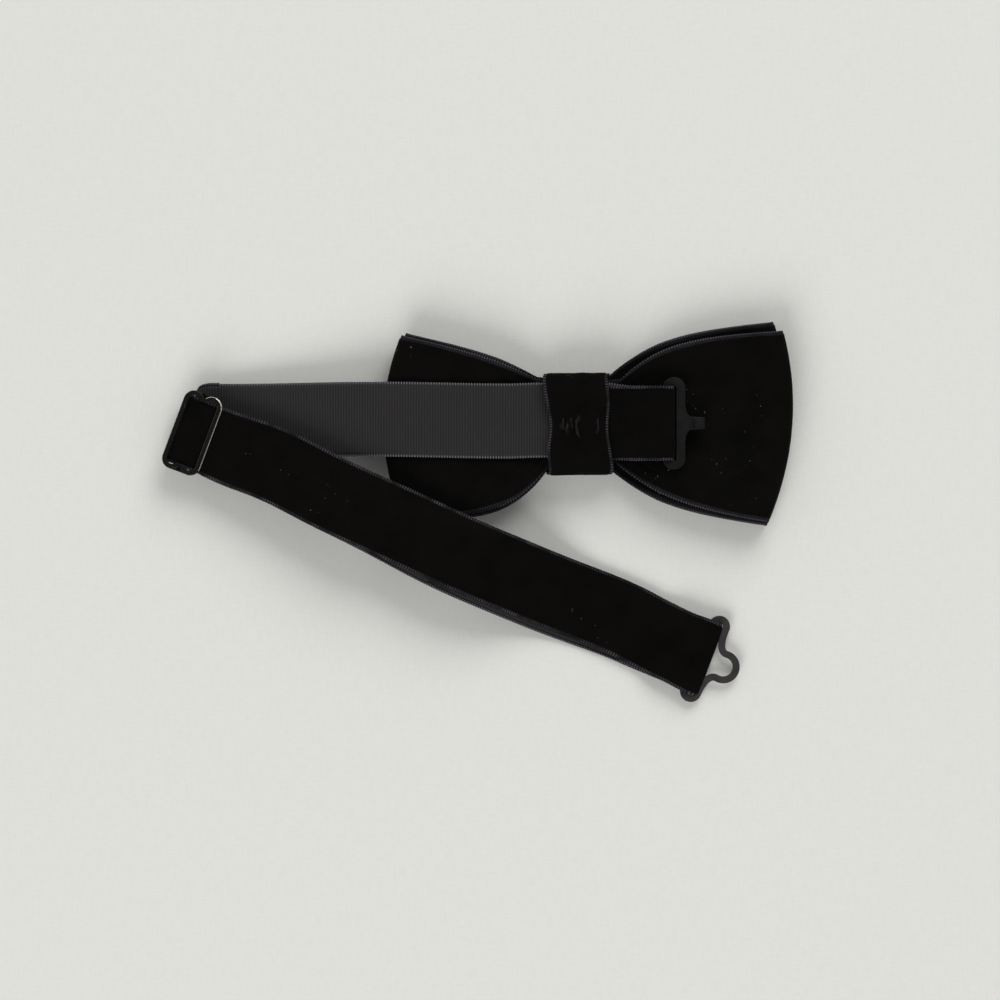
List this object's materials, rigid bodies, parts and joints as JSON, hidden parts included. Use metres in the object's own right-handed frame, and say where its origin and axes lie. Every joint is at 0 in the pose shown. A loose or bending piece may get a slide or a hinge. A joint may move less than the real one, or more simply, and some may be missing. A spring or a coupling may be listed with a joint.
{
  "type": "bow tie",
  "caption": "Pre-tied velvet bow tie with a folded adjustable neck strap, a sliding buckle, a hook and an eye, lying face down.",
  "frame": {"origin": "middle of the knot's front face, which lies on the table", "axes": "+X along the bow towards the hook side, +Y across it, away from the side that the strap hangs on, +Z away from the table, towards the wearer's neck"},
  "size_m": [0.1869, 0.1123, 0.0157],
  "materials": {
    "velvet": "short black cut pile with a soft sheen and grey ribbed selvages",
    "ribbon_back": "charcoal woven ribbon back with fine crosswise ribs",
    "painted_metal": "matt dark grey paint, slightly worn on the edges",
    "slider_metal": "matt black paint, rubbed to bare metal along the edges",
    "thread": "black polyester sewing thread"
  },
  "bodies": {
    "bow": {"front_loop": "velvet", "back_loop": "velvet", "knot_wrap": "velvet", "gather_thread": "thread", "tack_stitch_1": "thread", "tack_stitch_2": "thread", "tack_stitch_3": "thread", "neck_band": "ribbon_back", "hook_tab_tail": "velvet", "hook_tab_seam": "thread"},
    "hook_tab": {"hook_tab": "velvet"},
    "hook": {"hook": "painted_metal"},
    "strap": {"strap_top": "velvet", "strap_fold": "velvet", "return_near": "ribbon_back", "return_far": "ribbon_back"},
    "slider": {"slider": "slider_metal", "return_end_loop": "ribbon_back", "return_end_seam": "thread"},
    "eye_end": {"eye_fold": "velvet"},
    "eye": {"eye": "painted_metal"}
  },
  "joints": [
    {"name": "hook_tab_lift", "type": "hinge", "parent": "bow", "child": "hook_tab", "pos_m": [0.0096, 0.0002, 0.0116], "axis": [0, -1, 0], "range_deg": [0, 70]},
    {"name": "hook_flip", "type": "hinge", "parent": "hook_tab", "child": "hook", "pos_m": [0.0259, 0.0002, 0.01275], "axis": [0, -1, 0], "range_deg": [0, 100]},
    {"name": "strap_unfold", "type": "hinge", "parent": "bow", "child": "strap", "pos_m": [-0.1138, -0.0028, 0.0055], "axis": [-0.2062, -0.9785, 0], "range_deg": [0, 158], "deforming": ["strap_fold"]},
    {"name": "slider_slide", "type": "slide", "parent": "strap", "child": "slider", "axis": [0.9068, -0.3999, 0.1333], "range_m": [0, 0.046], "deforming": ["return_near"]},
    {"name": "eye_end_slide", "type": "slide", "parent": "strap", "child": "eye_end", "axis": [0.915, -0.4035, 0], "range_m": [0, 0.023]},
    {"name": "eye_flip", "type": "hinge", "parent": "eye_end", "child": "eye", "pos_m": [0.03575, -0.06876, 0.00225], "axis": [-0.4035, -0.915, 0], "range_deg": [0, 100]}
  ],
  "couplings": [
    {"joint": "eye_end_slide", "follows": "slider_slide", "ratio": 0.5}
  ]
}
